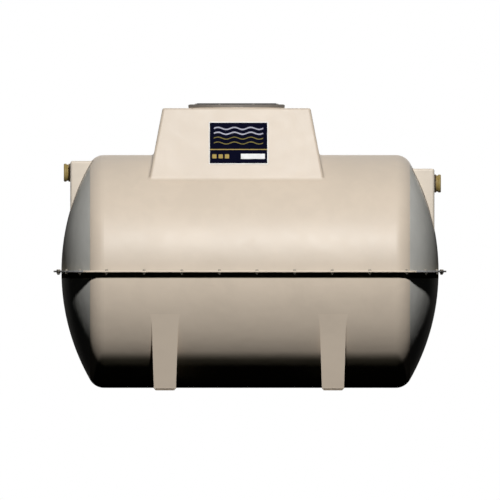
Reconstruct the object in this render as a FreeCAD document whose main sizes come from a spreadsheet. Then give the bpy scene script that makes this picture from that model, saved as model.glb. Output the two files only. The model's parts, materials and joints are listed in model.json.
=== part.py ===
import FreeCAD, Part
import Sketcher
import math
import os

# Packaged sewage treatment plant: a horizontal glass-fibre tank of two bolted halves with dished
# ends, a tapered access turret with a round cover, an inlet box, an outlet box and four feet.
# Millimetres. X runs along the tank from inlet to outlet, the front faces -Y, the ground is Z = 0.

DIMENSIONS = [
    ("tank_radius", 825, "outside radius of the barrel"),
    ("barrel_length", 2070, "straight length between the shoulders"),
    ("knuckle_radius", 115, "outside radius of the rolled shoulders"),
    ("crown_radius", 1550, "outside radius of the dished ends"),
    ("wall", 6, "laminate thickness of every moulding"),
    ("lip_width", 55, "how far the bolting lip stands out"),
    ("lip_thickness", 5, "thickness of one lip"),
    ("lip_joint_gap", 1, "gap between the lips of neighbouring mouldings"),
    ("seal_thickness", 1.5, "sealing strip between the lips"),
    ("seal_setback", 6, "sealing strip behind the edge of the lip"),
    ("seal_width", 40, "width of the sealing strip"),
    ("foot_clearance", 18, "underside of the barrel above the ground"),
    ("turret_offset", -95.5, "centre of the turret from the middle of the tank"),
    ("turret_length", 1050, "turret deck along the tank"),
    ("turret_width", 820, "turret deck across the tank"),
    ("turret_rise", 332, "turret deck above the top of the barrel"),
    ("turret_draft", 10.8, "slope of the turret walls in degrees"),
    ("turret_corner_radius", 20, "rounding between the turret walls"),
    ("turret_edge_radius", 16, "rounding round the deck"),
    ("manway_radius", 290, "hole in the deck"),
    ("seat_width", 50, "width of the raised seat round the manway"),
    ("seat_height", 6, "height of the raised seat"),
    ("frame_rim", 41.5, "cover frame outside the lid's recess"),
    ("frame_height", 21.5, "cover frame above the seat"),
    ("frame_bevel", 4, "height of the frame's bevelled outer edge"),
    ("frame_bevel_width", 14, "width of the frame's bevelled outer edge"),
    ("skirt_clearance", 3, "frame skirt inside the manway"),
    ("skirt_depth", 42, "frame skirt below the seat"),
    ("skirt_wall", 14, "thickness of the frame skirt"),
    ("lid_bearing", 24.5, "how far the lid rests on the frame"),
    ("lid_gap", 3, "gap between lid and frame"),
    ("lid_recess", 11, "depth of the lid's seat in the frame"),
    ("lid_rise", 5, "lid above the frame"),
    ("lid_bevel", 4, "bevelled edge of the lid"),
    ("key_slot_inset", 62.5, "lifting slots from the edge of the lid"),
    ("key_slot_length", 34, "length of a lifting slot"),
    ("key_slot_width", 14, "width of a lifting slot"),
    ("key_slot_depth", 12, "depth of a lifting slot"),
    ("inlet_drop", 125, "inlet pipe below the top of the barrel"),
    ("pipe_fall", 77, "outlet pipe below the inlet pipe"),
    ("inlet_box_cover", 83, "top of the inlet box above its pipe"),
    ("outlet_box_cover", 105.5, "top of the outlet box above its pipe"),
    ("inlet_standout", 104, "face of the inlet box beyond the end, at the pipe"),
    ("outlet_standout", 101, "face of the outlet box beyond the end, at the pipe"),
    ("box_width", 290, "width of a pipe box at its face"),
    ("box_flare", 4, "slope of the box sides in plan in degrees"),
    ("box_edge_radius", 17, "rounding of the edges of a box"),
    ("pipe_radius", 55, "outside radius of the drain pipe"),
    ("pipe_wall", 3.2, "wall of the drain pipe"),
    ("pipe_reach", 150, "pipe inside the tank"),
    ("socket_clearance", 0.3, "drain pipe in its socket, on the radius"),
    ("socket_wall", 2.7, "wall of the socket"),
    ("socket_depth", 60, "mouth of the socket to its stop"),
    ("socket_reach", 46, "socket outside the box"),
    ("bulge_height", 6, "ring housing outside the wall of the socket"),
    ("bulge_length", 22, "length of the ring housing"),
    ("bulge_bevel", 5, "bevelled edges of the ring housing"),
    ("ring_groove_offset", 6, "mouth of the socket to the ring groove"),
    ("ring_groove_width", 11, "width of the ring groove"),
    ("ring_clearance", 0.3, "sealing ring in its groove"),
    ("grommet_wall", 4, "rubber between the socket and the edge of its hole"),
    ("grommet_flange", 2, "grommet over the edge of the hole"),
    ("grommet_length", 12, "grommet outside the box"),
    ("cut_margin", 12, "how far a cut runs past the wall that it opens"),
    ("foot_spacing", 1192, "feet along the tank, centre to centre"),
    ("foot_offset", -7.5, "middle between the feet from the middle of the tank"),
    ("foot_tangent_angle", 21.5, "where the foot leaves the barrel, degrees below the axis"),
    ("foot_bottom_width", 157, "foot along the tank at the ground"),
    ("foot_waist_width", 180, "foot along the tank at its waist"),
    ("foot_waist_height", 362, "waist of the foot above the ground"),
    ("foot_top_width", 212, "foot along the tank where it leaves the barrel"),
    ("foot_depth", 190, "foot across the tank at the ground"),
    ("foot_inner_draft", 12, "slope of the inner face of the foot in degrees"),
    ("foot_edge_radius", 14, "rounding of the lower edges of a foot"),
]

COINCIDENT = 1e-3

doc = FreeCAD.newDocument("sewage_treatment_plant")
sheet = doc.addObject("Spreadsheet::Sheet", "Dimensions")
for row, (alias, value, note) in enumerate(DIMENSIONS, start=1):
    sheet.set(f"A{row}", note)
    sheet.set(f"B{row}", str(value))
    sheet.setAlias(f"B{row}", alias)
doc.recompute()


class Size:
    """Formula on the sheet's named dimensions, for binding to a feature or a constraint."""

    def __init__(self, text):
        self.text = str(text)

    def __add__(self, other):
        return Size(f"({self.text} + {text_of(other)})")

    def __radd__(self, other):
        return Size(f"({text_of(other)} + {self.text})")

    def __sub__(self, other):
        return Size(f"({self.text} - {text_of(other)})")

    def __rsub__(self, other):
        return Size(f"({text_of(other)} - {self.text})")

    def __mul__(self, other):
        return Size(f"({self.text} * {text_of(other)})")

    def __rmul__(self, other):
        return Size(f"({text_of(other)} * {self.text})")

    def __truediv__(self, other):
        return Size(f"({self.text} / {text_of(other)})")

    def __neg__(self):
        return Size(f"(0 - {self.text})")

    @property
    def value(self):
        return float(sheet.evalExpression(self.text))


def text_of(size):
    return size.text if isinstance(size, Size) else repr(size)


def value_of(size):
    return size.value if isinstance(size, Size) else float(size)


def root(size):
    return Size(f"sqrt{size.text}")


def sine(degrees):
    return Size(f"sin({text_of(degrees)} * 1 deg)")


def cosine(degrees):
    return Size(f"cos({text_of(degrees)} * 1 deg)")


def tangent(degrees):
    return Size(f"tan({text_of(degrees)} * 1 deg)")


class Names:
    """Named dimensions as formulas: dim.wall is the cell with the alias wall."""

    def __getattr__(self, alias):
        return Size("Dimensions." + alias)


dim = Names()

# Heights of the two tank axes, one seal thickness apart
lower_axis = dim.foot_clearance + dim.tank_radius
upper_axis = lower_axis + dim.seal_thickness

# Direction of the joint between shoulder and dished end, as the crown meets the knuckle smoothly
knuckle_height = dim.tank_radius - dim.knuckle_radius
crown_reach = dim.crown_radius - dim.knuckle_radius
joint_sine = knuckle_height / crown_reach
joint_cosine = root(1 - joint_sine * joint_sine)
joint_angle = Size(f"asin{joint_sine.text}")
knuckle_middle = dim.barrel_length / 2
crown_middle = knuckle_middle - crown_reach * joint_cosine


def direction(angle):
    """Unit direction at an angle to the tank's axis."""
    return Size(f"cos({angle.text})"), Size(f"sin({angle.text})")


def lip_gap_angle(radius):
    """Half the gap between two lips, seen from the centre of an arc."""
    return dim.lip_joint_gap / (2 * radius) * Size("1 rad")


def new_body(name, height=0, turn=0, x=0, y=0):
    """Empty body at a height above the ground, turned about the vertical."""
    body = doc.addObject("PartDesign::Body", name)
    turned = FreeCAD.Rotation(FreeCAD.Vector(0, 0, 1), turn)
    body.Placement = FreeCAD.Placement(FreeCAD.Vector(0, 0, 0), turned)
    for axis, size in (("x", x), ("y", y), ("z", height)):
        body.setExpression("Placement.Base." + axis, text_of(size))
    return body


def attach(body, feature, plane):
    """Lay a sketch or a block on one of the body's own planes."""
    support = next(item for item in body.Origin.OriginFeatures if item.Role == plane)
    feature.AttachmentSupport = (support, [""])
    feature.MapMode = "FlatFace"


def new_sketch(body, name, plane="XY_Plane", offset=0):
    """Empty sketch on one of the body's own planes, moved along its normal."""
    sketch = body.newObject("Sketcher::SketchObject", name)
    attach(body, sketch, plane)
    sketch.setExpression("AttachmentOffset.Base.z", text_of(offset))
    return sketch


def bind(sketch, kind, element, size):
    """Dimension of a sketch, bound to the sheet."""
    index = sketch.addConstraint(Sketcher.Constraint(kind, *element, value_of(size)))
    name = f"{kind}_{index}"
    sketch.renameConstraint(index, name)
    sketch.setExpression("Constraints." + name, text_of(size))


def arc_between(start, end, radius, left):
    """Arc from start to end with its centre to the left or right of the chord."""
    chord = end - start
    normal = FreeCAD.Vector(-chord.y, chord.x, 0).normalize()
    height = math.sqrt(max(radius ** 2 - chord.Length ** 2 / 4, 0))
    centre = start + chord / 2 + normal * (height if left else -height)
    first, last = (start, end) if left else (end, start)
    angles = [math.atan2(point.y - centre.y, point.x - centre.x) for point in (first, last)]
    return Part.ArcOfCircle(Part.Circle(centre, FreeCAD.Vector(0, 0, 1), radius), *angles)


def outline(sketch, corners, arcs=()):
    """Closed outline through corners given as pairs of sizes.

    arcs maps the number of a side to its radius and whether its centre is on the left.
    """
    arcs = dict(arcs)
    points = [FreeCAD.Vector(value_of(x), value_of(y), 0) for x, y in corners]
    sides = []
    for number, start in enumerate(points):
        end = points[(number + 1) % len(points)]
        if number in arcs:
            radius, left = arcs[number]
            side = sketch.addGeometry(arc_between(start, end, value_of(radius), left))
            sides.append((side, 1, 2) if left else (side, 2, 1))
        else:
            sides.append((sketch.addGeometry(Part.LineSegment(start, end)), 1, 2))
    for number, (side, start, end) in enumerate(sides):
        following = sides[(number + 1) % len(sides)]
        sketch.addConstraint(Sketcher.Constraint("Coincident", side, end, following[0], following[1]))
        bind(sketch, "DistanceX", (-1, 1, side, start), corners[number][0])
        bind(sketch, "DistanceY", (-1, 1, side, start), corners[number][1])
        if number in arcs:
            bind(sketch, "Radius", (side,), arcs[number][0])


def circle(sketch, x, y, radius):
    """Circle with its centre and radius bound to the sheet."""
    centre = FreeCAD.Vector(value_of(x), value_of(y), 0)
    side = sketch.addGeometry(Part.Circle(centre, FreeCAD.Vector(0, 0, 1), value_of(radius)))
    bind(sketch, "DistanceX", (-1, 1, side, 3), x)
    bind(sketch, "DistanceY", (-1, 1, side, 3), y)
    bind(sketch, "Radius", (side,), radius)


def rectangle(sketch, length, width, x=0, y=0):
    outline(sketch, [(x - length / 2, y - width / 2), (x + length / 2, y - width / 2),
                     (x + length / 2, y + width / 2), (x - length / 2, y + width / 2)])


def revolve(body, sketch, angle=360, axis="H_Axis", reverse=False):
    feature = body.newObject("PartDesign::Revolution", sketch.Label + "_turned")
    feature.Profile = sketch
    feature.ReferenceAxis = (sketch, [axis])
    feature.Angle = angle
    feature.Reversed = reverse
    return feature


def pad(body, sketch, length, reverse=False, midplane=False):
    feature = body.newObject("PartDesign::Pad", sketch.Label + "_pad")
    feature.Profile = sketch
    feature.setExpression("Length", text_of(length))
    feature.Reversed = reverse
    feature.Midplane = midplane
    return feature


def pocket(body, sketch, length, reverse=False):
    feature = body.newObject("PartDesign::Pocket", sketch.Label + "_pocket")
    feature.Profile = sketch
    feature.setExpression("Length", text_of(length))
    feature.Reversed = reverse
    return feature


def rounded(body, name, radius, chosen):
    """Round the edges of the body's last feature that the test chosen picks."""
    doc.recompute()
    base = body.Tip
    edges = [f"Edge{number}" for number, edge in enumerate(base.Shape.Edges, start=1)
             if chosen(edge, base.Shape)]
    feature = body.newObject("PartDesign::Fillet", name)
    feature.Base = (base, edges)
    feature.setExpression("Radius", text_of(radius))
    return feature


def combine(kind, label, base, tool):
    """Part::Cut, Part::Common or Part::Fuse of two objects."""
    feature = doc.addObject("Part::" + kind, label)
    feature.Label = label
    feature.Base = base
    feature.Tool = tool
    return feature


def upright(edge):
    """True for an edge that rises more than it runs."""
    return edge.BoundBox.ZLength > edge.Length / 2


def topmost(edge, shape):
    """True for an edge that lies in the level top of a shape."""
    top = max(vertex.Z for vertex in shape.Vertexes)
    return all(math.isclose(vertex.Z, top, abs_tol=COINCIDENT) for vertex in edge.Vertexes)


# Tank: shoulders and barrel

def barrel_band(sketch, inner, outer, side=1, gap_angle=Size("0 rad")):
    """Outline of barrel and shoulders between two offsets from the outside of the tank."""
    along, across = direction(joint_angle + gap_angle)
    ends = {}
    for name, offset in (("inner", inner), ("outer", outer)):
        reach = dim.knuckle_radius + offset
        ends[name] = (knuckle_middle + reach * along, side * (knuckle_height + reach * across))
    inside, outside = side * (dim.tank_radius + inner), side * (dim.tank_radius + outer)
    corners = [
        (-knuckle_middle, outside), (knuckle_middle, outside), ends["outer"], ends["inner"],
        (knuckle_middle, inside), (-knuckle_middle, inside),
        (-ends["inner"][0], ends["inner"][1]), (-ends["outer"][0], ends["outer"][1]),
    ]
    away, back = side < 0, side > 0
    arcs = {1: (dim.knuckle_radius + outer, away), 3: (dim.knuckle_radius + inner, back),
            5: (dim.knuckle_radius + inner, back), 7: (dim.knuckle_radius + outer, away)}
    outline(sketch, corners, arcs)


def barrel_half(label, height, under):
    """Half barrel with rolled shoulders and a bolting lip along the front and the back."""
    body = new_body(label, height)
    section = new_sketch(body, label + "_section")
    barrel_band(section, -dim.wall, Size(0))
    revolve(body, section, 180, reverse=under)
    lips = new_sketch(body, label + "_lips")
    for side in (1, -1):
        barrel_band(lips, -dim.wall / 2, dim.lip_width, side, lip_gap_angle(dim.knuckle_radius))
    pad(body, lips, dim.lip_thickness, reverse=under)
    return body


# Tank: dished ends

def crown_point(reach, side=1):
    """Point of a crown arc on the joint with the shoulder."""
    return crown_middle + reach * joint_cosine, side * (reach * joint_sine)


def primitive(kind, name, height, x, rotation, **sizes):
    """Part primitive at a height above the ground, its sizes bound to the sheet."""
    feature = doc.addObject("Part::" + kind, name)
    feature.Placement = FreeCAD.Placement(FreeCAD.Vector(0, 0, 0), rotation)
    for axis, size in (("x", x), ("z", height)):
        feature.setExpression("Placement.Base." + axis, text_of(size))
    for name, size in sizes.items():
        feature.setExpression(name, text_of(size))
    return feature


def end_half(label, height, under, turn):
    """Half dished end with the bolting lip that follows its crown.

    The dish is a spherical shell, trimmed by the cone of the joint with the shoulder.
    """
    way = 1 if turn == 0 else -1
    place = dict(height=height, x=way * crown_middle)
    outer, inner = dim.crown_radius, dim.crown_radius - dim.wall
    edge, bond = outer + dim.lip_width, outer - dim.wall / 2

    about = FreeCAD.Rotation(FreeCAD.Vector(0, 0, 1), turn + 180)
    latitudes = dict(Angle1=-90, Angle2=0) if under else dict(Angle1=0, Angle2=90)
    outside = primitive("Sphere", label + "_outside", rotation=about, Radius=outer, **latitudes, **place)
    inside = primitive("Sphere", label + "_inside", rotation=about, Radius=inner, **place)
    shell = combine("Cut", label + "_shell", outside, inside)
    along = FreeCAD.Rotation(FreeCAD.Vector(0, 0, 1), FreeCAD.Vector(way, 0, 0))
    cone = primitive("Cone", label + "_joint", rotation=along, Radius1=0, Height=edge,
                     Radius2=edge * joint_sine / joint_cosine, **place)
    dish = combine("Common", label + "_dish", shell, cone)

    lip = new_body(label + "_lip", turn=turn, **place)
    plan = new_sketch(lip, label + "_lip_plan")
    ahead, across = direction(joint_angle - lip_gap_angle(dim.crown_radius))
    corners = [(edge * ahead, -edge * across), (edge * ahead, edge * across),
               (bond * ahead, bond * across), (bond * ahead, -bond * across)]
    outline(plan, corners, {0: (edge, True), 2: (bond, False)})
    pad(lip, plan, dim.lip_thickness, reverse=under)
    return combine("Fuse", label, dish, lip)


def envelope(name, height):
    """Outside of the tank as a full solid, for trimming what is bonded to it."""
    body = new_body(name, height)
    section = new_sketch(body, name + "_section")
    apex = crown_middle + dim.crown_radius
    joint = crown_point(dim.crown_radius)
    corners = [
        (apex, 0), joint, (knuckle_middle, dim.tank_radius), (-knuckle_middle, dim.tank_radius),
        (-joint[0], joint[1]), (-apex, 0),
    ]
    outline(section, corners, {0: (dim.crown_radius, True), 1: (dim.knuckle_radius, True),
                               3: (dim.knuckle_radius, True), 4: (dim.crown_radius, True)})
    revolve(body, section)
    return body


def lip_loop(sketch, offset):
    """Closed plan outline of the whole tank at an offset from its outside."""
    reach, rounding = dim.crown_radius + offset, dim.knuckle_radius + offset
    edge = dim.tank_radius + offset
    far = crown_point(reach)
    near = crown_point(reach, -1)
    corners = [
        near, far, (knuckle_middle, edge), (-knuckle_middle, edge),
        (-far[0], far[1]), (-near[0], near[1]), (-knuckle_middle, -edge), (knuckle_middle, -edge),
    ]
    outline(sketch, corners, {0: (reach, True), 1: (rounding, True), 3: (rounding, True),
                              4: (reach, True), 5: (rounding, True), 7: (rounding, True)})


upper_envelope = envelope("upper_envelope", upper_axis)
lower_envelope = envelope("lower_envelope", lower_axis)

upper_half = barrel_half("upper_half", upper_axis, False)
lower_barrel = barrel_half("lower_barrel", lower_axis, True)
outlet_end = end_half("outlet_end", upper_axis, False, 0)
inlet_end = end_half("inlet_end", upper_axis, False, 180)
outlet_end_lower = end_half("outlet_end_lower", lower_axis, True, 0)
inlet_end_lower = end_half("inlet_end_lower", lower_axis, True, 180)

joint_seal = new_body("joint_seal", lower_axis)
seal_loops = new_sketch(joint_seal, "seal_loops")
lip_loop(seal_loops, dim.lip_width - dim.seal_setback)
lip_loop(seal_loops, dim.lip_width - dim.seal_setback - dim.seal_width)
pad(joint_seal, seal_loops, dim.seal_thickness)

# Turret: tapered walls, deck, manway and raised seat

deck = dim.tank_radius + dim.turret_rise
slope = tangent(dim.turret_draft)


def turret_block(name, top, inset, rounding):
    """Tapered block of the turret, from a level near its deck down to the tank's axis."""
    body = new_body(name, upper_axis, x=dim.turret_offset)
    block = body.newObject("PartDesign::AdditiveWedge", name + "_block")
    attach(body, block, "XZ_Plane")
    block.setExpression("Ymin", "0")
    block.setExpression("Ymax", text_of(top))
    for place, height in (("", Size(0)), ("2", top)):
        growth = (deck - height) * slope - inset
        for axis, size in (("X", dim.turret_length), ("Z", dim.turret_width)):
            half = size / 2 + growth
            block.setExpression(axis + place + "min", text_of(-half))
            block.setExpression(axis + place + "max", text_of(half))
    rounded(body, name + "_corners", rounding, lambda edge, shape: upright(edge))
    return body


turret_outer = turret_block("turret_outer", deck, Size(0), dim.turret_corner_radius)
rounded(turret_outer, "turret_deck_edge", dim.turret_edge_radius, topmost)
seat = new_sketch(turret_outer, "seat", offset=deck)
circle(seat, 0, 0, dim.manway_radius + dim.seat_width)
pad(turret_outer, seat, dim.seat_height)
manway = new_sketch(turret_outer, "manway", offset=deck + dim.seat_height)
circle(manway, 0, 0, dim.manway_radius)
pocket(turret_outer, manway, dim.seat_height + dim.wall + dim.cut_margin)

turret_cavity = turret_block("turret_cavity", deck - dim.wall, dim.wall / cosine(dim.turret_draft),
                             dim.turret_corner_radius - dim.wall)
rounded(turret_cavity, "turret_cavity_edge", dim.turret_edge_radius - dim.wall, topmost)
turret_shell = combine("Cut", "turret_shell", turret_outer, turret_cavity)
turret = combine("Cut", "turret", turret_shell, upper_envelope)
upper_barrel = combine("Cut", "upper_barrel", upper_half, turret_cavity)

# Cover: frame with its skirt in the manway, and the lid in the frame's recess

seat_level = upper_axis + deck + dim.seat_height
skirt_radius = dim.manway_radius - dim.skirt_clearance
opening_radius = skirt_radius - dim.skirt_wall
lid_radius = opening_radius + dim.lid_bearing
recess_radius = lid_radius + dim.lid_gap
frame_radius = recess_radius + dim.frame_rim
ledge = dim.frame_height - dim.lid_recess

cover_frame = new_body("cover_frame", seat_level, x=dim.turret_offset)
frame_section = new_sketch(cover_frame, "frame_section", "XZ_Plane")
outline(frame_section, [
    (opening_radius, -dim.skirt_depth), (skirt_radius, -dim.skirt_depth), (skirt_radius, 0),
    (frame_radius, 0), (frame_radius, dim.frame_height - dim.frame_bevel),
    (frame_radius - dim.frame_bevel_width, dim.frame_height),
    (recess_radius, dim.frame_height), (recess_radius, ledge), (opening_radius, ledge),
])
revolve(cover_frame, frame_section, axis="V_Axis")

cover_lid = new_body("cover_lid", seat_level + ledge, x=dim.turret_offset)
lid_section = new_sketch(cover_lid, "lid_section", "XZ_Plane")
lid_top = dim.lid_recess + dim.lid_rise
outline(lid_section, [
    (0, 0), (lid_radius, 0), (lid_radius, lid_top - dim.lid_bevel),
    (lid_radius - dim.lid_bevel, lid_top), (0, lid_top),
])
revolve(cover_lid, lid_section, axis="V_Axis")
key_slots = new_sketch(cover_lid, "key_slots", offset=lid_top)
for side in (-1, 1):
    rectangle(key_slots, dim.key_slot_width, dim.key_slot_length, x=side * (lid_radius - dim.key_slot_inset))
pocket(cover_lid, key_slots, dim.key_slot_depth)


# Pipe boxes with grommets, sockets and ring seals

def box_block(name, face, top, inset, turn):
    """Block of a pipe box, from its face back to the shoulder, its sides flaring in plan."""
    body = new_body(name, upper_axis, turn)
    front, back = face - inset, knuckle_middle
    half = dim.box_width / 2 - inset
    flared = half + (face - back) * tangent(dim.box_flare)
    plan = new_sketch(body, name + "_plan")
    outline(plan, [(front, -half), (front, half), (back, flared), (back, -flared)])
    pad(body, plan, top - inset)
    middle = (front.value + back.value) / 2
    rounded(body, name + "_edges", dim.box_edge_radius - inset,
            lambda edge, shape: edge.BoundBox.XMax > middle and (upright(edge) or topmost(edge, shape)))
    return body


def pipe_connection(side, end, height, cover, standout, turn):
    """Box, end with the passage of the pipe, grommet, socket and ring seal of one pipe."""
    face = crown_middle + root(dim.crown_radius * dim.crown_radius - height * height) + standout
    top = height + cover
    bore = dim.pipe_radius + dim.socket_clearance
    neck = bore + dim.socket_wall
    hole_radius = neck + dim.grommet_wall
    outer = box_block(side + "_box_outer", face, top, Size(0), turn)
    hole = new_sketch(outer, side + "_pipe_hole", "YZ_Plane", offset=face)
    circle(hole, 0, height, hole_radius)
    pocket(outer, hole, dim.wall + dim.cut_margin)
    cavity = box_block(side + "_box_cavity", face, top, dim.wall, turn)
    shell = combine("Cut", side + "_box_shell", outer, cavity)
    box = combine("Cut", side + "_box", shell, upper_envelope)

    way = 1 if turn == 0 else -1
    along = FreeCAD.Rotation(FreeCAD.Vector(0, 0, 1), FreeCAD.Vector(way, 0, 0))
    passage = primitive("Cylinder", side + "_passage", upper_axis + height, way * knuckle_middle, along,
                        Radius=hole_radius, Height=face - knuckle_middle)
    open_end = combine("Cut", side + "_end_upper", end, passage)

    place = dict(height=upper_axis + height, turn=turn, x=way * face)
    grommet = new_body(side + "_grommet", **place)
    section = new_sketch(grommet, side + "_grommet_section")
    flange_radius = hole_radius + dim.grommet_flange
    front, back = dim.grommet_length, -dim.wall - dim.grommet_length
    outline(section, [
        (front, neck), (front, flange_radius), (0, flange_radius), (0, hole_radius),
        (-dim.wall, hole_radius), (-dim.wall, flange_radius), (back, flange_radius), (back, neck),
    ])
    revolve(grommet, section)

    socket = new_body(side + "_socket", **place)
    section = new_sketch(socket, side + "_socket_section")
    mouth = dim.socket_reach
    stop = mouth - dim.socket_depth
    bulge_start = mouth - dim.bulge_length
    groove_start = mouth - dim.ring_groove_offset
    groove_end = groove_start - dim.ring_groove_width
    bulge_radius = neck + dim.bulge_height
    groove_radius = bulge_radius - dim.socket_wall
    bevel = dim.bulge_bevel
    outline(section, [
        (mouth, bore), (mouth, bulge_radius - bevel), (mouth - bevel, bulge_radius),
        (bulge_start + bevel, bulge_radius), (bulge_start, bulge_radius - bevel),
        (bulge_start, neck), (stop - dim.socket_wall, neck), (stop - dim.socket_wall, dim.pipe_radius),
        (-dim.pipe_reach, dim.pipe_radius), (-dim.pipe_reach, dim.pipe_radius - dim.pipe_wall),
        (stop, dim.pipe_radius - dim.pipe_wall), (stop, bore), (groove_end, bore),
        (groove_end, groove_radius), (groove_start, groove_radius), (groove_start, bore),
    ])
    revolve(socket, section)

    ring = new_body(side + "_ring_seal", **place)
    section = new_sketch(ring, side + "_ring_section")
    outside = groove_radius - dim.ring_clearance
    outline(section, [
        (groove_start - dim.ring_clearance, bore), (groove_start - dim.ring_clearance, outside),
        (groove_end + dim.ring_clearance, outside), (groove_end + dim.ring_clearance, bore),
    ])
    revolve(ring, section)
    return [open_end, box, grommet, socket, ring]


inlet_height = dim.tank_radius - dim.inlet_drop
outlet_height = inlet_height - dim.pipe_fall
inlet_pieces = pipe_connection("inlet", inlet_end, inlet_height, dim.inlet_box_cover,
                               dim.inlet_standout, 180)
outlet_pieces = pipe_connection("outlet", outlet_end, outlet_height, dim.outlet_box_cover,
                                dim.outlet_standout, 0)


# Feet: the front face leaves the barrel tangentially and runs down to the ground

def foot_block(name, inset, x, turn):
    """Foot before trimming: its side profile and its front outline in common."""
    angle = dim.foot_tangent_angle
    leave_y = -dim.tank_radius * cosine(angle)
    leave_z = -dim.tank_radius * sine(angle)
    ground = -lower_axis
    lean = tangent(angle)
    front_y = leave_y + (leave_z - ground) * lean
    inner_y = front_y + dim.foot_depth
    inner_lean = tangent(dim.foot_inner_draft)
    shift = inset / cosine(angle)
    inner_shift = inset / cosine(dim.foot_inner_draft)
    low, high = ground + inset, leave_z
    edge = dim.foot_edge_radius - inset

    side_view = new_body(name + "_side_view", lower_axis, turn, x=x)
    profile = new_sketch(side_view, name + "_profile", "YZ_Plane")
    low_front = front_y - (low - ground) * lean + shift
    low_inner = inner_y + (low - ground) * inner_lean - inner_shift
    top_inner = inner_y + (high - ground) * inner_lean - inner_shift
    outline(profile, [
        (low_front - edge * lean, low + edge), (low_front + edge, low), (low_inner - edge, low),
        (low_inner + edge * inner_lean, low + edge), (top_inner, high), (leave_y + shift, high),
    ])
    pad(side_view, profile, dim.foot_top_width + 2 * dim.cut_margin, midplane=True)

    front_view = new_body(name + "_front_view", lower_axis, turn, x=x)
    face = new_sketch(front_view, name + "_face", "XZ_Plane")
    bottom, waist = dim.foot_bottom_width / 2 - inset, dim.foot_waist_width / 2 - inset
    top = dim.foot_top_width / 2 - inset
    waist_z = ground + dim.foot_waist_height
    flare_height = high - waist_z
    flare_width = top - waist
    flare = (flare_height * flare_height + flare_width * flare_width) / (2 * flare_width)
    outline(face, [
        (edge - bottom, low), (bottom - edge, low), (bottom, low + edge), (waist, waist_z), (top, high),
        (-top, high), (-waist, waist_z), (-bottom, low + edge),
    ], {3: (flare, False), 5: (flare, False)})
    pad(front_view, face, dim.tank_radius)
    return combine("Common", name, side_view, front_view)


def foot(label, x_side, turn):
    """Hollow foot, trimmed to the outside of the barrel."""
    x = x_side * dim.foot_spacing / 2 + dim.foot_offset
    shell = combine("Cut", label + "_shell", foot_block(label + "_outer", Size(0), x, turn),
                    foot_block(label + "_cavity", dim.wall, x, turn))
    return combine("Cut", label, shell, lower_envelope)


feet = [
    foot("foot_front_inlet", -1, 0), foot("foot_front_outlet", 1, 0),
    foot("foot_back_inlet", -1, 180), foot("foot_back_outlet", 1, 180),
]

# Finished pieces

pieces = [
    upper_barrel, lower_barrel, inlet_end_lower, outlet_end_lower, joint_seal, turret,
    cover_frame, cover_lid, *inlet_pieces, *outlet_pieces, *feet,
]
doc.recompute()

for item in doc.Objects:
    faults = [state for state in item.State if state in ("Invalid", "Error")]
    if faults:
        raise RuntimeError(f"{item.Label}: {faults}")
os.makedirs("parts", exist_ok=True)
for piece in pieces:
    shape = piece.Shape
    if shape.isNull() or not shape.isValid() or not shape.Solids:
        raise RuntimeError(f"{piece.Label}: no sound solid")
    shape.exportStep(f"parts/{piece.Label}.step")
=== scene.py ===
import json
import math

import bmesh
import bpy
from mathutils import Matrix, Vector


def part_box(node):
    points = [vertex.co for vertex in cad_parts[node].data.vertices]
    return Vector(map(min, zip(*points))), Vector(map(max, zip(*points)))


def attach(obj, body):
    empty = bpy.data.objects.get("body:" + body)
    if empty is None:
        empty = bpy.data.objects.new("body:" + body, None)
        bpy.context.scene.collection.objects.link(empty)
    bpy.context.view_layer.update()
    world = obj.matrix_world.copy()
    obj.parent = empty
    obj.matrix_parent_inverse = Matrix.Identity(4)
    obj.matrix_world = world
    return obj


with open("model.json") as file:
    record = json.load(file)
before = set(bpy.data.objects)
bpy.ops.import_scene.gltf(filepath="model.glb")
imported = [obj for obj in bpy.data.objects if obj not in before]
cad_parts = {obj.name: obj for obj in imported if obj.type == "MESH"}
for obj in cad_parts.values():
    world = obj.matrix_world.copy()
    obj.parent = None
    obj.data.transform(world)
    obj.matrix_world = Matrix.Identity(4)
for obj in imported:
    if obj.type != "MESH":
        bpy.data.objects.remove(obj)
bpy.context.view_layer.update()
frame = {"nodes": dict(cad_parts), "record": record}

# Sizes of the mouldings, in metres, as the part's source has them.
BARREL_HALF = 1.035
SHOULDER_RADIUS = 0.115
CROWN_RADIUS = 1.550
TURRET_HALF_LENGTH = 0.525
TURRET_HALF_WIDTH = 0.410
TURRET_DRAFT = math.radians(10.8)
TURRET_CORNER = 0.020
SEAT_RISE = 0.006
BOX_HALF_WIDTH = 0.145
BOX_FLARE = math.radians(4)
BOX_EDGE = 0.017
LIP_THICKNESS = 0.005

# Places read from the frame.
seal_low, seal_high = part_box("joint_seal")
lid_low, lid_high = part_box("cover_lid")
rim_low, rim_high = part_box("cover_frame")
AXIS = seal_high.z
TANK_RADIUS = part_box("upper_barrel")[1].z - AXIS
LIP_TOP = seal_high.z + LIP_THICKNESS
LIP_BOTTOM = seal_low.z - LIP_THICKNESS
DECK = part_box("turret")[1].z - SEAT_RISE
COVER_X = (lid_low.x + lid_high.x) / 2
LID_RADIUS = (lid_high.x - lid_low.x) / 2
LID_TOP = lid_high.z
RIM_RADIUS = (rim_high.x - rim_low.x) / 2
RIM_TOP = rim_high.z

# The arc of the dish starts where the shoulder's arc ends.
SHOULDER_CIRCLE = TANK_RADIUS - SHOULDER_RADIUS
CENTRES_APART = CROWN_RADIUS - SHOULDER_RADIUS
CROWN_CENTRE = BARREL_HALF - math.sqrt(CENTRES_APART ** 2 - SHOULDER_CIRCLE ** 2)
CROWN_HALF_ANGLE = math.asin(SHOULDER_CIRCLE / CENTRES_APART)
DISH_RADIUS = CROWN_RADIUS * math.sin(CROWN_HALF_ANGLE)

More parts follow.
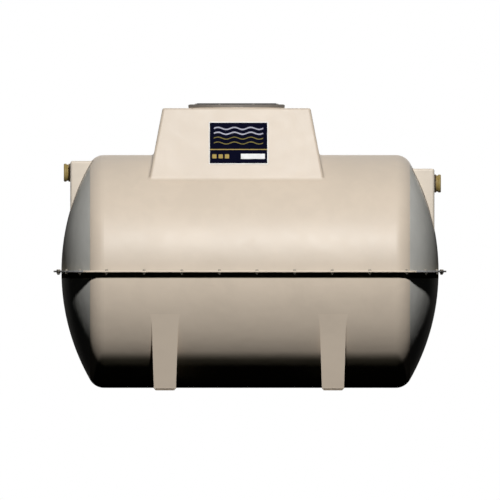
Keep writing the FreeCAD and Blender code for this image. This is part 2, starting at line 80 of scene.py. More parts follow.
# Shades of the finishes: red, green and blue as shares of the light that comes back.
WHITE = (1.0, 1.0, 1.0)
SHELL_BEIGE = (0.60, 0.51, 0.41)
# Painted light: the shell's beige made paler for the boxes, standing in for the sheen they catch less of.
BOX_BEIGE_PAINTED_LIGHT = (0.744, 0.655, 0.545)
END_GREY = (0.90, 0.89, 0.83)
# Dark laminate brown, painted as shade on faces that look down and as shadow under the lips.
PAINTED_SHADE_BROWN = (0.16, 0.14, 0.10)
FRAME_BROWN = (0.142, 0.123, 0.104)
FRAME_TOP_DARK = (0.05, 0.045, 0.04)
LID_BROWN = (0.036, 0.031, 0.027)
LID_WORN = (0.060, 0.053, 0.046)
DRAIN_OCHRE = (0.30, 0.213, 0.062)
DRAIN_BLOOM = (0.34, 0.255, 0.09)
SEAL_BLACK = (0.022, 0.022, 0.023)
GROMMET_BROWN = (0.30, 0.225, 0.14)
ZINC_BRIGHT = (0.39, 0.355, 0.30)
ZINC_DULL = (0.29, 0.26, 0.215)
PLATE_INKS = {
    "edge": (0.82, 0.80, 0.76),
    "field": (0.004, 0.0045, 0.0145),
    "rule": (0.42, 0.31, 0.10),
    "blank": (0.85, 0.85, 0.85),
    "silver": (0.42, 0.42, 0.50),
    "olive": (0.20, 0.165, 0.055),
}

# How far the darker top of the cover's frame reaches down.
FRAME_TOP_DEPTH = 0.006
# Upward share of a face's normal from which the face starts to count as level, and fully does.
LEVEL_FACE = (0.93, 0.99)
# Sides on which the corners of an oblong lie, in turn.
CORNERS = ((1, 1), (-1, 1), (-1, -1), (1, -1))
# Rounds in which a point on two surfaces at once is closed in on.
SEARCH_ROUNDS = 12


def both_ways(operation):
    """An operator's method for a value on its left, and the reflected one for a value on its right."""

    def on_left(value, other):
        return value.math(operation, value, other)

    def on_right(value, other):
        return value.math(operation, other, value)

    return on_left, on_right


class Value:
    """A shader socket in an expression: each operator adds its Math node."""

    __add__, __radd__ = both_ways("ADD")
    __sub__, __rsub__ = both_ways("SUBTRACT")
    __mul__, __rmul__ = both_ways("MULTIPLY")
    __truediv__, __rtruediv__ = both_ways("DIVIDE")
    __pow__, __rpow__ = both_ways("POWER")

    def __init__(self, nodes, socket):
        self.nodes = nodes
        self.socket = socket

    def math(self, operation, *values):
        return self.nodes.add("ShaderNodeMath", {"operation": operation}, dict(enumerate(values)))

    def __neg__(self):
        return 0.0 - self

    def __abs__(self):
        return self.math("ABSOLUTE", self)

    def larger(self, other):
        return self.math("MAXIMUM", self, other)


class Nodes:
    """The node tree of a finish or of the room."""

    def __init__(self, tree):
        self.tree = tree
        self.tree.nodes.clear()

    def add(self, kind, settings=None, sockets=None, output=0):
        """Add a node: its settings first, then the values or links of its sockets."""
        node = self.tree.nodes.new(kind)
        for name, setting in (settings or {}).items():
            setattr(node, name, setting)
        for name, value in (sockets or {}).items():
            if isinstance(value, Value):
                self.tree.links.new(value.socket, node.inputs[name])
            else:
                node.inputs[name].default_value = value
        return Value(self, node.outputs[output]) if node.outputs else None

    def place(self):
        return self.add("ShaderNodeTexCoord", output="Object")

    def component(self, vector, axis):
        return self.add("ShaderNodeSeparateXYZ", None, {"Vector": vector}, output=axis)

    def noise(self, place, scale, detail, distortion=0.0):
        sockets = {"Vector": place, "Scale": scale, "Detail": detail, "Distortion": distortion}
        return self.add("ShaderNodeTexNoise", None, sockets)

    def step(self, value, start, end):
        """0 up to start, 1 from end on, and smooth between."""
        sockets = {"Value": value, "From Min": start, "From Max": end}
        return self.add("ShaderNodeMapRange", {"interpolation_type": "SMOOTHSTEP"}, sockets)

    def band(self, value, middle, inner, outer):
        """1 within the inner distance of the middle, 0 beyond the outer one, and smooth between."""
        return 1.0 - self.step(abs(value - middle), inner, outer)

    def mix(self, share, first, second):
        sockets = {0: share, 6: colour(first), 7: colour(second)}
        return self.add("ShaderNodeMix", {"data_type": "RGBA"}, sockets, output=2)

    def mottled(self, share, shade, least, most):
        """A shade that goes from its least tone to its most."""
        return self.mix(share, toned(shade, least), toned(shade, most))

    def bump(self, height, distance, strength=1.0, below=None):
        sockets = {"Height": height, "Distance": distance, "Strength": strength}
        if below:
            sockets["Normal"] = below
        return self.add("ShaderNodeBump", None, sockets)

    def seen_directly(self):
        """1 for what the camera sees, straight or in gloss or glass, and 0 for light cast on the object."""
        rays = ("Is Camera Ray", "Is Glossy Ray", "Is Transmission Ray")
        straight, gloss, glass = [self.add("ShaderNodeLightPath", output=ray) for ray in rays]
        return straight.larger(gloss).larger(glass)


class Finish(Nodes):
    """A material and its node tree, which ends in one surface."""

    def __init__(self, name):
        self.material = bpy.data.materials.new(name)
        self.material.use_nodes = True
        super().__init__(self.material.node_tree)

    def surface(self, **sockets):
        """End in a Principled surface, its sockets named as in base_color."""
        titled = {}
        for name, value in sockets.items():
            titled[name.replace("_", " ").title().replace("Ior", "IOR")] = value
        self.output(self.add("ShaderNodeBsdfPrincipled", None, titled))

    def output(self, shader):
        self.add("ShaderNodeOutputMaterial", None, {"Surface": shader})


def colour(shade):
    """A colour for a socket: three parts get an alpha, and a link stays as it is."""
    return shade if isinstance(shade, Value) else (*shade, 1.0)


def toned(shade, share):
    """A shade made darker or paler by a share."""
    return tuple(part * share for part in shade)


class Moulding:
    """Points and faces of one piece, gathered part by part."""

    def __init__(self):
        self.points = []
        self.faces = []
        self.finish_of = []

    def skin(self, rows, place=Matrix.Identity(4), ends="", finish=0):
        """Join closed rows of points in turn, and fill the ends named: b for the bottom, t for the top."""
        start, count = len(self.points), len(rows[0])
        before = len(self.faces)
        for row in rows:
            self.points += [place @ Vector(point) for point in row]
        for row in range(len(rows) - 1):
            for i in range(count):
                a, b = start + row * count + i, start + row * count + (i + 1) % count
                self.faces.append((a, b, b + count, a + count))
        if "b" in ends:
            self.faces.append([start + i for i in reversed(range(count))])
        if "t" in ends:
            self.faces.append([start + (len(rows) - 1) * count + i for i in range(count)])
        self.finish_of += [finish] * (len(self.faces) - before)

    def piece(self, name, slot, *finishes, crease=35):
        """Make the piece, smooth but for edges sharper than the crease, and let it ride on the tank."""
        mesh = bpy.data.meshes.new(name)
        mesh.from_pydata(self.points, [], self.faces)
        for finish in finishes:
            mesh.materials.append(finish.material)
        mesh.polygons.foreach_set("material_index", self.finish_of)
        shape = bmesh.new()
        shape.from_mesh(mesh)
        bmesh.ops.recalc_face_normals(shape, faces=shape.faces)
        for face in shape.faces:
            face.smooth = True
        shape.to_mesh(mesh)
        shape.free()
        mesh.set_sharp_from_angle(angle=math.radians(crease))
        thing = add_object(name, mesh)
        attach(thing, "root")


def add_object(name, data):
    thing = bpy.data.objects.new(name, data)
    bpy.context.collection.objects.link(thing)
    return thing


def ring(stations):
    """Points at equal turns round an axis, each with its own radius and level."""
    points = []
    for i, (radius, level) in enumerate(stations):
        angle = math.tau * i / len(stations)
        points.append((radius * math.cos(angle), radius * math.sin(angle), level))
    return points


def turned(profile, steps):
    """Rows of a turned shape from its radii and levels."""
    return [ring([station] * steps) for station in profile]


def rounded_panel(width, height, corner, level):
    """Row of points round a panel with rounded corners, at a level above the face it lies on."""
    steps = 5
    points = []
    for quarter, (x, y) in enumerate(CORNERS):
        for i in range(steps + 1):
            angle = math.pi / 2 * (quarter + i / steps)
            points.append((x * (width / 2 - corner) + corner * math.cos(angle),
                           y * (height / 2 - corner) + corner * math.sin(angle), level))
    return points


def lip_highlight_and_shade(finish, coat, shade, height, rise):
    """The coat with a painted highlight round the lips' edge, and dark laminate brown painted on top of
    them to keep bounced light out of the shade below.
    """
    reach, fade, paler = 0.0065, 0.001, 1.28
    lip = finish.band(height, (LIP_TOP + LIP_BOTTOM) / 2, reach, reach + fade)
    upright = finish.band(rise, 0.0, inner=0.3, outer=0.6)
    # Painted highlight: the lips' upright edge is made paler than the coat.
    edge = tuple(min(part, 1.0) for part in toned(shade, paler))
    highlighted_coat = finish.mix(lip * upright, coat, edge)
    # Painted shade: dark brown on the lips' level tops.
    return finish.mix(lip * finish.step(rise, *LEVEL_FACE), highlighted_coat, PAINTED_SHADE_BROWN)


def painted_shade_share(finish, height, rise, shade_slope):
    """1 where a dark laminate brown is painted as shade: on faces that look down, and as painted shadow in
    a strip from the lips' lower arris.
    """
    arris, arris_fade = 0.0015, 0.0006
    strip, strip_fade = 0.0415, 0.0005
    strip_bottom = LIP_BOTTOM - strip
    above_strip = finish.step(height, strip_bottom - strip_fade, strip_bottom + strip_fade)
    past_arris = finish.step(height, LIP_BOTTOM + arris, LIP_BOTTOM + arris + arris_fade)
    return finish.step(-rise, *shade_slope).larger(above_strip * (1.0 - past_arris))


def gelcoat(name, shade, roughness, specular, knuckle=False, painted_paling=None, shade_slope=LEVEL_FACE):
    """Gelcoat over chopped glass: faint clouds, strands that show through and fine orange peel.

    The downward slope given is where painted shade, in a dark laminate brown, comes in on faces that look
    down.
    The heights given are where painted light makes the coat paler towards the ground, with the share by how
    much. With a knuckle the laminate thickens along the shoulders towards the seam of the ends.
    """
    finish = Finish(name)
    place = finish.place()
    height = finish.component(place, "Z")
    rise = finish.component(finish.add("ShaderNodeNewGeometry", output="Normal"), "Z")
    clouds = finish.noise(place, scale=2.4, detail=3.0)
    blotches = finish.noise(place, scale=11.0, detail=4.0, distortion=0.6)
    strands = finish.noise(place, scale=70.0, detail=3.0, distortion=2.2)
    peel = finish.noise(place, scale=520.0, detail=1.0)

    tone = finish.step(clouds * 0.65 + blotches * 0.35, start=0.38, end=0.62)
    coat = finish.mottled(tone, shade, least=0.97, most=1.02)
    coat = lip_highlight_and_shade(finish, coat, shade, height, rise)
    # Painted light: the coat is made paler towards the ground, evening out how the light falls off lower
    # down.
    if painted_paling:
        high, low, paler = painted_paling
        coat = finish.mix(finish.step(-height, -high, -low), coat, toned(shade, paler))
    # Painted shade: dark brown on faces that look down and in a strip under the lips' lower arris, where
    # shadow falls.
    base = finish.mix(painted_shade_share(finish, height, rise, shade_slope), coat, PAINTED_SHADE_BROWN)

    skin = finish.bump(clouds, distance=0.006)
    skin = finish.bump(strands, distance=0.0006, strength=0.5, below=skin)
    skin = finish.bump(peel, distance=0.00005, strength=0.5, below=skin)
    if knuckle:
        past = (abs(finish.component(place, "X")) - BARREL_HALF) / SHOULDER_RADIUS
        skin = finish.bump(past.larger(0.0) ** 4.0, distance=0.0204, below=skin)
    uneven = 0.12
    finish.surface(base_color=base, roughness=roughness - uneven / 2 + blotches * uneven,
                   specular_ior_level=specular, normal=skin)
    return finish


def composite(name, shade, top_tone, level, specular):
    """Filled moulding compound: gritty and matt, with patches of another tone above a level: paler wear on
    the lid, darker on the frame's top.
    """
    finish = Finish(name)
    place = finish.place()
    grit = finish.noise(place, scale=900.0, detail=2.0)
    patches = finish.noise(place, scale=16.0, detail=4.0, distortion=0.8)
    tone = finish.step(patches + grit * 0.3, start=0.5, end=0.8)
    base = finish.mottled(tone, shade, least=0.86, most=1.14)
    fade, cover = 0.003, 0.8
    above = finish.step(finish.component(place, "Z"), level, level + fade)
    top_patches = above * finish.step(patches, start=0.36, end=0.62)
    finish.surface(base_color=finish.mix(top_patches * cover, base, top_tone), roughness=0.72,
                   specular_ior_level=specular, normal=finish.bump(grit, distance=0.0005, strength=0.7))
    return finish


def drain_plastic():
    """Extruded drain plastic: faint draw lines along the pipe and a dusty bloom."""
    finish = Finish("drain_plastic")
    place = finish.place()
    along_pipe, round_pipe = 6.0, 160.0
    stretch = {0: place, 1: (along_pipe, round_pipe, round_pipe)}
    stretched = finish.add("ShaderNodeVectorMath", {"operation": "MULTIPLY"}, stretch)
    lines = finish.noise(stretched, scale=1.0, detail=3.0)
    bloom = finish.noise(place, scale=34.0, detail=4.0, distortion=0.5)
    base = finish.mix(finish.step(bloom, start=0.4, end=0.7), DRAIN_OCHRE, DRAIN_BLOOM)
    finish.surface(base_color=base, roughness=0.46 + bloom * 0.16, specular_ior_level=0.25,
                   normal=finish.bump(lines, distance=0.0003, strength=0.4))
    return finish


def rubber(name, shade):
    """Moulded rubber: dull, with a pale bloom in patches."""
    finish = Finish(name)
    place = finish.place()
    bloom = finish.noise(place, scale=60.0, detail=5.0)
    grain = finish.noise(place, scale=1400.0, detail=1.0)
    paler, dust = 1.3, 0.012
    bloomed = tuple(part + dust for part in toned(shade, paler))
    base = finish.mix(finish.step(bloom, start=0.42, end=0.75), shade, bloomed)
    finish.surface(base_color=base, roughness=0.66 + bloom * 0.2, specular_ior_level=0.35,
                   normal=finish.bump(grain, distance=0.0002, strength=0.4))
    return finish


def zinc_plate():
    """Zinc-plated steel gone dull, with a darker bloom."""
    finish = Finish("zinc_plate")
    bloom = finish.noise(finish.place(), scale=140.0, detail=4.0, distortion=0.4)
    dull = finish.step(bloom, start=0.4, end=0.66)
    base = finish.mix(dull, ZINC_BRIGHT, ZINC_DULL)
    finish.surface(base_color=base, metallic=0.3 - dull * 0.2, roughness=0.48 + dull * 0.24,
                   specular_ior_level=0.2, normal=finish.bump(bloom, distance=0.0003, strength=0.5))
    return finish


def printed(name, shade):
    """Ink under a clear film: even, with a slightly uneven gloss."""
    finish = Finish(name)
    film = finish.noise(finish.place(), scale=24.0, detail=2.0)
    tone = finish.step(film, start=0.35, end=0.65)
    base = finish.mottled(tone, shade, least=0.95, most=1.04)
    finish.surface(base_color=base, roughness=0.44 + film * 0.12, specular_ior_level=0.0,
                   normal=finish.bump(film, distance=0.0006, strength=0.3))
    return finish


shell_gelcoat = gelcoat("shell_gelcoat", SHELL_BEIGE, roughness=0.48, specular=0.5)
# Painted light: the upper barrel, the lower barrel and the feet take the shell's beige made paler, each to
# make up for how the light falls on it.
barrel_painted_light = gelcoat("barrel_painted_light", toned(SHELL_BEIGE, 1.03), roughness=0.47, specular=0.47,
                         knuckle=True)
# On the lower barrel, faces turned more than about 45 degrees downwards get painted shade.
dull_barrel_painted_light = gelcoat("dull_barrel_painted_light", toned(SHELL_BEIGE, 1.16), roughness=0.72, specular=0.0,
                              knuckle=True, painted_paling=(0.66, 0.26, 1.2), shade_slope=(0.675, 0.77))
foot_painted_light = gelcoat("foot_painted_light", toned(SHELL_BEIGE, 1.265), roughness=0.72, specular=0.0,
                       painted_paling=(0.55, 0.05, 1.14))
box_painted_light = gelcoat("box_painted_light", BOX_BEIGE_PAINTED_LIGHT, roughness=0.52, specular=0.5)
end_gelcoat = gelcoat("end_gelcoat", END_GREY, roughness=0.75, specular=0.0)
# Painted shade: the beads round the pipe boxes are dark, as shade in the crease where box meets end.
box_paste = gelcoat("box_paste", toned(SHELL_BEIGE, 0.5), roughness=0.6, specular=0.2)
cover_composite = composite("cover_composite", FRAME_BROWN, FRAME_TOP_DARK, level=RIM_TOP - FRAME_TOP_DEPTH,
                            specular=0.9)
lid_composite = composite("lid_composite", LID_BROWN, LID_WORN, level=LID_TOP, specular=0.05)
zinc = zinc_plate()

SLOT_FINISHES = {
    "shell_gelcoat": shell_gelcoat,
    "end_gelcoat": end_gelcoat,
    "cover_composite": cover_composite,
    "lid_composite": lid_composite,
    "drain_plastic": drain_plastic(),
    "seal_rubber": rubber("seal_rubber", SEAL_BLACK),
    "grommet_rubber": rubber("grommet_rubber", GROMMET_BROWN),
}
NODE_FINISHES = {
    "upper_barrel": barrel_painted_light,
    "lower_barrel": dull_barrel_painted_light,
    "inlet_box": box_painted_light,
    "outlet_box": box_painted_light,
    "foot_front_inlet": foot_painted_light,
    "foot_front_outlet": foot_painted_light,
    "foot_back_inlet": foot_painted_light,
    "foot_back_outlet": foot_painted_light,
}
for subpart in frame["record"]["subparts"]:
    node = subpart["node"]
    node_finish = NODE_FINISHES.get(node, SLOT_FINISHES[subpart["material_slot"]])
    for holder in frame["nodes"][node].material_slots:
        holder.material = node_finish.material


def rim_runs(offset):
    """Length of the shoulder and of a whole quarter of the tank's outline in plan, offset outwards."""
    shoulder = (SHOULDER_RADIUS + offset) * (math.pi / 2 - CROWN_HALF_ANGLE)
    return shoulder, BARREL_HALF + shoulder + (CROWN_RADIUS + offset) * CROWN_HALF_ANGLE


def rim_length(offset):
    return 4 * rim_runs(offset)[1]


def rim_point(distance, offset):
    """Point of the tank's outline in plan, offset outwards, at a distance round from the front's middle."""
    shoulder, quarter = rim_runs(offset)
    side, along = divmod(distance % (4 * quarter), quarter)
    along = quarter - along if side in (1, 3) else along
    if along < BARREL_HALF:
        x, y = along, TANK_RADIUS + offset
    elif along < BARREL_HALF + shoulder:
        angle = (along - BARREL_HALF) / (SHOULDER_RADIUS + offset)
        x = BARREL_HALF + (SHOULDER_RADIUS + offset) * math.sin(angle)
        y = SHOULDER_CIRCLE + (SHOULDER_RADIUS + offset) * math.cos(angle)
    else:
        angle = (quarter - along) / (CROWN_RADIUS + offset)
        x = CROWN_CENTRE + (CROWN_RADIUS + offset) * math.cos(angle)
        y = (CROWN_RADIUS + offset) * math.sin(angle)
    return x if side < 2 else -x, y if side in (1, 2) else -y


def hexagon(part, across, low, high, place):
    """Hexagon of a nut or bolt head, its corners turned off on top as a cone."""
    face_share, cone_angle = 0.95, math.radians(30)
    flat, corner = across / 2, across / math.sqrt(3)
    face = face_share * flat
    fall = math.tan(cone_angle)
    radii = [corner, flat] * 6
    bottom = [(radius, low) for radius in radii]
    cone = [(radius, high - (radius - face) * fall) for radius in radii]
    top = [(face, high) for _ in radii]
    part.skin([ring(bottom), ring(cone), ring(top)], place, "bt")


def lip_bolts():
    """Bolts that clamp the two lips, each with a wide washer at both sides and a nut below."""
    part = Moulding()
    count, inset, first, golden_angle = 30, 0.027, -1.0174, 2.399
    across, head, nut = 0.017, 0.0066, 0.0082
    washer, sheet, arris = 0.0125, 0.0022, 0.0004
    thread, root, tip, pitch, turns = 0.005, 0.0042, 0.0038, 0.0015, 5
    disc = [(washer - arris, 0), (washer, arris), (washer, sheet - arris), (washer - arris, sheet)]
    ridges = []
    for turn in range(turns):
        base = sheet + nut + turn * pitch
        ridges += [(root, base), (thread, base + pitch / 2)]
    ridges.append((tip, base + pitch))
    for i in range(count):
        x, y = rim_point(first + rim_length(inset) * i / count, inset)
        turn = Matrix.Rotation(golden_angle * i, 4, "Z")
        upper = Matrix.Translation((x, y, LIP_TOP)) @ turn
        lower = Matrix.Translation((x, y, LIP_BOTTOM)) @ Matrix.Rotation(math.pi, 4, "X") @ turn
        for place in (upper, lower):
            part.skin(turned(disc, steps=24), place, "bt")
        hexagon(part, across, sheet, sheet + head, upper)
        hexagon(part, across, sheet, sheet + nut, lower)
        part.skin(turned(ridges, steps=12), lower, "t")
    part.piece("lip_bolts", "fixing_steel", zinc)


def lip_sealant():
    """Sealant squeezed out flush between the two lips."""
    part = Moulding()
    inner, outer, steps = 0.047, 0.0542, 480
    rows = []
    for i in range(steps):
        near, far = [rim_point(i / steps * rim_length(offset), offset) for offset in (inner, outer)]
        rows.append([(*near, seal_low.z), (*far, seal_low.z), (*far, seal_high.z), (*near, seal_high.z)])
    part.skin(rows + rows[:1])
    part.piece("lip_sealant", "shell_gelcoat", shell_gelcoat)


def lid_tread():
    """Raised pads of the lid's tread in staggered rows, clear of the edge and of the two key slots."""
    part = Moulding()
    pitch, pad, rise, sunk = 0.026, 0.0085, 0.0028, 0.0004
    wall_share, top_share = 0.55, 0.78
    key_reach, key_half_width, key_half_length = 0.235, 0.021, 0.030
    edge_clear = 0.022
    edge = LID_RADIUS - edge_clear
    profile = [(pad, -sunk), (pad, rise * wall_share), (pad * top_share, rise)]
    rows = int(edge / (pitch / 2)) + 1
    for row in range(-rows, rows + 1):
        for column in range(-rows, rows + 1):
            x = (column + 0.5 * (row % 2)) * pitch
            y = row * pitch / 2
            near_key = abs(abs(x) - key_reach) < key_half_width and abs(y) < key_half_length
            if math.hypot(x, y) > edge or near_key:
                continue
            place = Matrix.Translation((COVER_X + x, y, LID_TOP))
            part.skin(turned(profile, steps=4), place, "t")
    part.piece("lid_tread", "lid_composite", lid_composite, crease=25)


def cover_screws():
    """Round-headed screws with a socket that hold the cover's frame to the turret."""
    part = Moulding()
    count, inset = 8, 0.0278
    dome = [(0.0078, 0.0), (0.0078, 0.0007), (0.0068, 0.0020), (0.0046, 0.0028)]
    socket = [(0.0028, 0.0028), (0.0026, 0.0008)]
    reach = RIM_RADIUS - inset
    for i in range(count):
        angle = math.tau * (i + 0.5) / count
        place = Matrix.Translation((COVER_X + reach * math.cos(angle), reach * math.sin(angle), RIM_TOP))
        part.skin(turned(dome + socket, steps=18), place, "t")
    part.piece("cover_screws", "fixing_steel", zinc)


def turret_plate():
    """Printed plate on the turret's front: a pale edge and a dark field with ripples, a rule and cells."""
    part = Moulding()
    inks = list(PLATE_INKS)
    left, right, low, high = -0.293, 0.130, 1.603, 1.906
    plate_level, field_level, print_level, bevel = 0.0025, 0.0029, 0.0031, 0.0003
    edge, rule, cell = 0.008, 0.007, 0.030
    width, height = right - left, (high - low) / math.cos(TURRET_DRAFT)
    field_width, field_height = width - 2 * edge, height - 2 * edge
    middle = (high + low) / 2
    wall = TURRET_HALF_WIDTH + (DECK - middle) * math.tan(TURRET_DRAFT)
    lean = Matrix.Rotation(math.pi / 2 - TURRET_DRAFT, 4, "X")
    place = Matrix.Translation(((left + right) / 2, -wall, middle)) @ lean

    def panel(ink, wide, tall, corner, level, x=0.0, y=0.0):
        rows = [rounded_panel(wide, tall, corner, 0),
                rounded_panel(wide, tall, corner, level - bevel),
                rounded_panel(wide - 2 * bevel, tall - 2 * bevel, corner, level)]
        part.skin(rows, place @ Matrix.Translation((x, y, 0)), "bt", inks.index(ink))

    def ripple(ink, y, thickness):
        span, swing, waves, steps = 0.86 * field_width, 0.0075, 3, 96
        rows = []
        for i in range(steps + 1):
            x = span * (i / steps - 0.5)
            crest = y + swing * math.sin(math.tau * waves * i / steps)
            low_y, high_y = crest - thickness / 2, crest + thickness / 2
            rows.append([(x, low_y, 0), (x, high_y, 0), (x, high_y, print_level), (x, low_y, print_level)])
        part.skin(rows, place, "bt", inks.index(ink))

    rule_y, cells_y, first_cell, cell_pitch = -0.16, -0.33, -0.42, 0.11
    blank_width, blank_height, blank_x = 0.42, 0.13, 0.25
    first_line, line_pitch = 0.36, 0.12
    panel("edge", width, height, corner=0.006, level=plate_level)
    panel("field", field_width, field_height, corner=0.003, level=field_level)
    panel("rule", field_width, rule, corner=0.001, level=print_level, y=field_height * rule_y)
    panel("blank", field_width * blank_width, field_height * blank_height, corner=0.003, level=print_level,
          x=field_width * blank_x, y=field_height * cells_y)
    for i in range(3):
        panel("rule", cell, cell, corner=0.004, level=print_level,
              x=field_width * (first_cell + cell_pitch * i), y=field_height * cells_y)
    for i, (ink, thickness) in enumerate([("silver", 0.010)] * 2 + [("olive", 0.007)] * 2):
        ripple(ink, field_height * (first_line - line_pitch * i), thickness)
    finishes = [printed("plate_" + ink, shade) for ink, shade in PLATE_INKS.items()]
    part.piece("turret_plate", "plate_print", *finishes)


def bead(name, loop, reach, paste):
    """Hollow fillet of paste along a joint: loop gives each point with the ways up and out from it."""
    part = Moulding()
    sunk, lift, steps = 0.002, 0.0003, 6
    rows = []
    for point, up, out in loop:
        row = [point - (up + out) * sunk]
        for i in range(steps + 1):
            share = i / steps
            row.append(point + up * reach * (1 - share) ** 2 + out * reach * share ** 2 + (up + out) * lift)
        rows.append(row)
    part.skin(rows + rows[:1])
    part.piece(name, "shell_gelcoat", paste)


def framed(points, wall_ways, tank_ways):
    """Each point of a closed joint line with its ways up the wall and out along the tank."""
    loop = []
    for i, point in enumerate(points):
        along = (points[(i + 1) % len(points)] - points[i - 1]).normalized()
        up = along.cross(wall_ways[i]).normalized()
        out = along.cross(tank_ways[i]).normalized()
        up = up if up.dot(tank_ways[i]) > 0 else -up
        out = out if out.dot(wall_ways[i]) > 0 else -out
        loop.append((point, up, out))
    return loop


def turret_stations():
    """Shares of the turret's half length and half width, and the wall's bearing, in turn round its foot."""
    corner_steps, side_steps = 6, 30
    stations = []
    for quarter, (x, y) in enumerate(CORNERS):
        for i in range(corner_steps + 1):
            stations.append((x, y, math.pi / 2 * (quarter + i / corner_steps)))
        next_x, next_y = CORNERS[(quarter + 1) % 4]
        for i in range(1, side_steps):
            share = 1 - 2 * i / side_steps
            stations.append((x if next_x == x else x * share, y if next_y == y else y * share,
                             math.pi / 2 * (quarter + 1)))
    return stations


def turret_joint():
    """Line round the turret's foot on the barrel."""
    points, wall_ways, tank_ways = [], [], []
    slope = math.tan(TURRET_DRAFT)
    first_share = 0.9
    for x_share, y_share, bearing in turret_stations():
        z = AXIS + TANK_RADIUS * first_share
        for _ in range(SEARCH_ROUNDS):
            length = TURRET_HALF_LENGTH + (DECK - z) * slope - TURRET_CORNER
            width = TURRET_HALF_WIDTH + (DECK - z) * slope - TURRET_CORNER
            x = x_share * length + TURRET_CORNER * math.cos(bearing)
            y = y_share * width + TURRET_CORNER * math.sin(bearing)
            z = AXIS + math.sqrt(TANK_RADIUS ** 2 - y ** 2)
        points.append(Vector((COVER_X + x, y, z)))
        wall_ways.append(Vector((math.cos(bearing), math.sin(bearing), slope)).normalized())
        tank_ways.append(Vector((0, y, z - AXIS)).normalized())
    return framed(points, wall_ways, tank_ways)


def end_reach(radius):
    """How far an end reaches along the tank at a radius from the axis, and its slope outwards there."""
    if radius < DISH_RADIUS:
        reach = CROWN_CENTRE + math.sqrt(CROWN_RADIUS ** 2 - radius ** 2)
        return reach, Vector((reach - CROWN_CENTRE, radius)).normalized()
    past = math.sqrt(SHOULDER_RADIUS ** 2 - (radius - SHOULDER_CIRCLE) ** 2)
    return BARREL_HALF + past, Vector((past, radius - SHOULDER_CIRCLE)).normalized()


def box_joint(node, side):
    """Line round a pipe box on the dished end."""
    low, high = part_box(node)
    face = max(abs(low.x), abs(high.x))
    top, edge_foot = high.z, high.z - BOX_EDGE
    flare = math.tan(BOX_FLARE)
    foot_share, half_steps, wall_steps, edge_steps = 0.93, 6, 15, 6
    points, wall_ways, tank_ways = [], [], []

    def station(x, y, z, wall):
        radius = math.hypot(y, z - AXIS)
        way = end_reach(radius)[1]
        points.append(Vector((side * x, y, z)))
        wall_ways.append(Vector((side * wall[0], wall[1], wall[2])).normalized())
        tank_ways.append(Vector((side * way.x, way.y * y / radius, way.y * (z - AXIS) / radius)))

    def wall_station(share, inset, z, wall):
        """Where the box meets the end, at a share of the box's half width less an inset."""
        x = face
        for _ in range(SEARCH_ROUNDS):
            y = share * (BOX_HALF_WIDTH + (face - x) * flare - inset)
            x = end_reach(math.hypot(y, z - AXIS))[0]
        station(x, y, z, wall)

    face_radius = math.sqrt(CROWN_RADIUS ** 2 - (face - CROWN_CENTRE) ** 2)
    foot = AXIS + math.sqrt(face_radius ** 2 - BOX_HALF_WIDTH ** 2)
    for i in range(1, 2 * half_steps):
        y = BOX_HALF_WIDTH * (i / half_steps - 1) * foot_share
        station(face, y, AXIS + math.sqrt(face_radius ** 2 - y ** 2), (1, 0, 0))

    rising = []
    for i in range(1, wall_steps + 1):
        rising.append((0.0, foot + (edge_foot - foot) * i / wall_steps, (flare, 1, 0)))
    for i in range(1, edge_steps):
        angle = math.pi / 2 * i / edge_steps
        rising.append((BOX_EDGE * (1 - math.cos(angle)), top - BOX_EDGE * (1 - math.sin(angle)),
                       (0, math.cos(angle), math.sin(angle))))
    for inset, z, wall in rising:
        wall_station(1, inset, z, wall)
    for i in range(2 * half_steps + 1):
        wall_station(1 - i / half_steps, BOX_EDGE, top, (0, 0, 1))
    for inset, z, (along, across, up) in reversed(rising):
        wall_station(-1, inset, z, (along, -across, up))
    return framed(points, wall_ways, tank_ways)


TURRET_BEAD = 0.018
BOX_BEAD = 0.005
lip_bolts()
lip_sealant()
lid_tread()
cover_screws()
turret_plate()
bead("turret_bead", turret_joint(), TURRET_BEAD, shell_gelcoat)
# The boxes' beads take the darker finish that paints shade into the crease.
bead("inlet_box_bead", box_joint("inlet_box", -1), BOX_BEAD, box_paste)
bead("outlet_box_bead", box_joint("outlet_box", 1), BOX_BEAD, box_paste)


def floor_paint():
    """Pale paint that shows the shadow, turns white far off and throws light back up only at the feet."""
    finish = Finish("floor_paint")
    place = finish.place()

    def paint(tone):
        return finish.add("ShaderNodeBsdfDiffuse", None, {"Color": colour(toned(WHITE, tone))})

    def blend(share, first, second):
        return finish.add("ShaderNodeMixShader", None, {0: share, 1: first, 2: second})

    shown_tone, dim_tone, bright_tone, least_glow = 0.95, 0.005, 0.55, 0.4
    glow = finish.add("ShaderNodeEmission", None, {"Color": colour(WHITE)})
    far = finish.add("ShaderNodeVectorMath", {"operation": "LENGTH"}, {0: place}, output="Value")
    glow_share = least_glow + finish.step(far, start=1.5, end=6.5) * (1.0 - least_glow)
    pale = blend(glow_share, paint(shown_tone), glow)

    inlet_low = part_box("foot_front_inlet")[0]
    outlet_low, outlet_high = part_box("foot_front_outlet")
    feet_middle = (inlet_low.x + outlet_high.x) / 2
    feet_apart = (outlet_low.x - inlet_low.x) / 2
    chamfer_y = 0.552
    along = abs(finish.component(place, "X") - feet_middle)
    at_foot = finish.band(along, feet_apart, inner=0.09, outer=0.12)
    at_chamfer = finish.band(abs(finish.component(place, "Y")), chamfer_y, inner=0.009, outer=0.014)
    thrown = blend(at_foot * at_chamfer, paint(dim_tone), paint(bright_tone))
    finish.output(blend(finish.seen_directly(), thrown, pale))
    return finish


def floor():
    """Wide floor just under the feet."""
    reach, level = 60.0, -0.0008
    mesh = bpy.data.meshes.new("floor")
    mesh.from_pydata([(x * reach, y * reach, level) for x, y in CORNERS], [], [(2, 3, 0, 1)])
    mesh.materials.append(floor_paint().material)
    thing = add_object("floor", mesh)


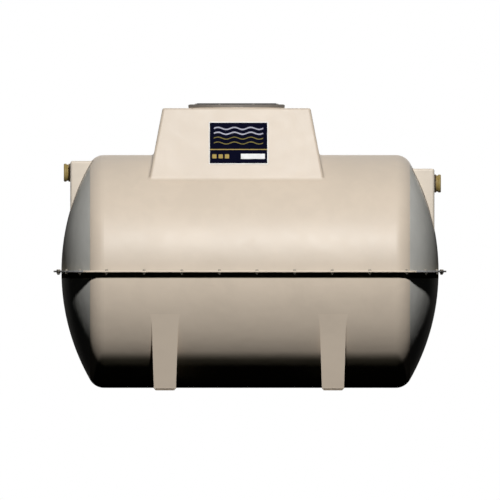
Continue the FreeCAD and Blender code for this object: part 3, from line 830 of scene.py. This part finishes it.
def room():
    """White room to look at that gives a little even light."""
    light_share = 0.0018
    world = bpy.data.worlds.new("room")
    world.use_nodes = True
    bpy.context.scene.world = world
    nodes = Nodes(world.node_tree)
    strength = light_share + nodes.seen_directly() * (1.0 - light_share)
    shader = nodes.add("ShaderNodeBackground", None, {"Color": colour(WHITE), "Strength": strength})
    nodes.add("ShaderNodeOutputWorld", None, {"Surface": shader})


def far_lamp(name, azimuth, elevation, share):
    """Far lamp that shows a surface square to it at a share of its colour; azimuth 0 is the front."""
    spread = 10
    light = bpy.data.lights.new(name, "SUN")
    light.energy = share * math.pi
    light.angle = math.radians(spread)
    thing = add_object(name, light)
    a, e = math.radians(azimuth), math.radians(elevation)
    towards = Vector((math.sin(a) * math.cos(e), -math.cos(a) * math.cos(e), math.sin(e)))
    thing.rotation_euler = towards.to_track_quat("Z", "Y").to_euler()
    thing.visible_glossy = False


def near_lamp(name, place, aim, share, size):
    """Round soft lamp that shows a surface square to it at its aim at a share of its colour."""
    light = bpy.data.lights.new(name, "AREA")
    light.shape = "DISK"
    light.size = size
    way = Vector(place) - Vector(aim)
    light.energy = share * math.pi ** 2 * way.length_squared
    thing = add_object(name, light)
    thing.location = place
    thing.rotation_euler = way.to_track_quat("Z", "Y").to_euler()


def camera():
    """Straight view of the front with no perspective, as the picture has it."""
    view_width, view_height, away = 3.5462, 0.996, 8.0
    data = bpy.data.cameras.new("camera")
    data.type = "ORTHO"
    data.ortho_scale = view_width
    thing = add_object("camera", data)
    thing.location = (0.0, -away, view_height)
    thing.rotation_euler = (math.pi / 2, 0.0, 0.0)
    bpy.context.scene.camera = thing


floor()
room()
near_lamp("front_lamp", place=(0.25, -8.0, 5.5), aim=(0.0, -0.85, 0.9), share=1.04, size=0.4)
far_lamp("back_lamp", azimuth=180, elevation=10, share=0.58)
far_lamp("outlet_rim_lamp", azimuth=165, elevation=6, share=0.14)
far_lamp("inlet_rim_lamp", azimuth=195, elevation=6, share=0.14)
far_lamp("top_lamp", azimuth=0, elevation=88, share=0.10)
camera()
bpy.context.scene.view_settings.view_transform = "Standard"
